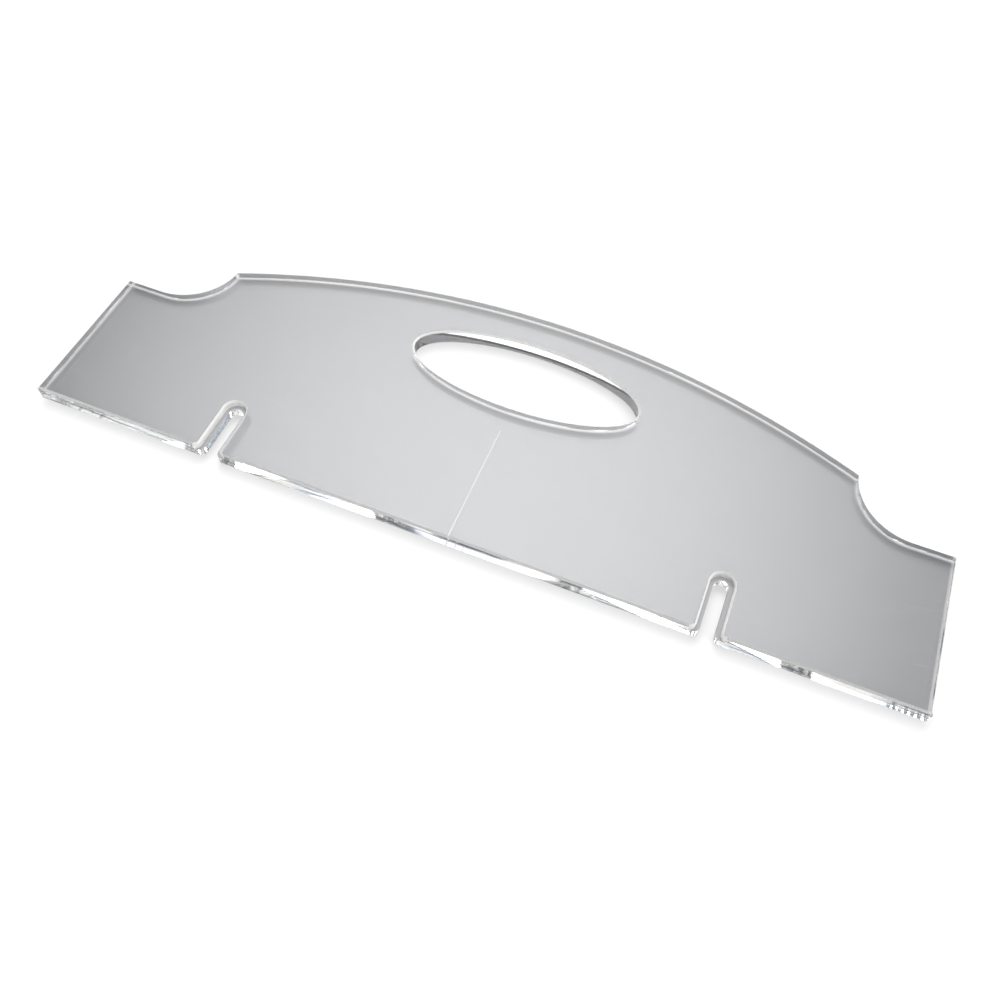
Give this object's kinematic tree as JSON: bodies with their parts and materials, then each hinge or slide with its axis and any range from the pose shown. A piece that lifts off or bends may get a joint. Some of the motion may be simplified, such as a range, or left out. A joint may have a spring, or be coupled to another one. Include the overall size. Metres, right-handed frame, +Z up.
{
  "type": "handle router template",
  "caption": "Flat clear plate with a crowned edge, notched ends, an oval hand hole and stepped bolt slots, for routing a handle opening.",
  "frame": {"origin": "on the resting face, under the middle of the plate's length and of its height", "axes": "+X along the straight near edge, +Y from the near edge towards the crown, +Z up out of the top face"},
  "size_m": [0.47, 0.152, 0.0095],
  "materials": {
    "clear_acrylic": "clear cast acrylic, polished faces"
  },
  "bodies": {
    "root": {"template_plate": "clear_acrylic"}
  },
  "joints": []
}
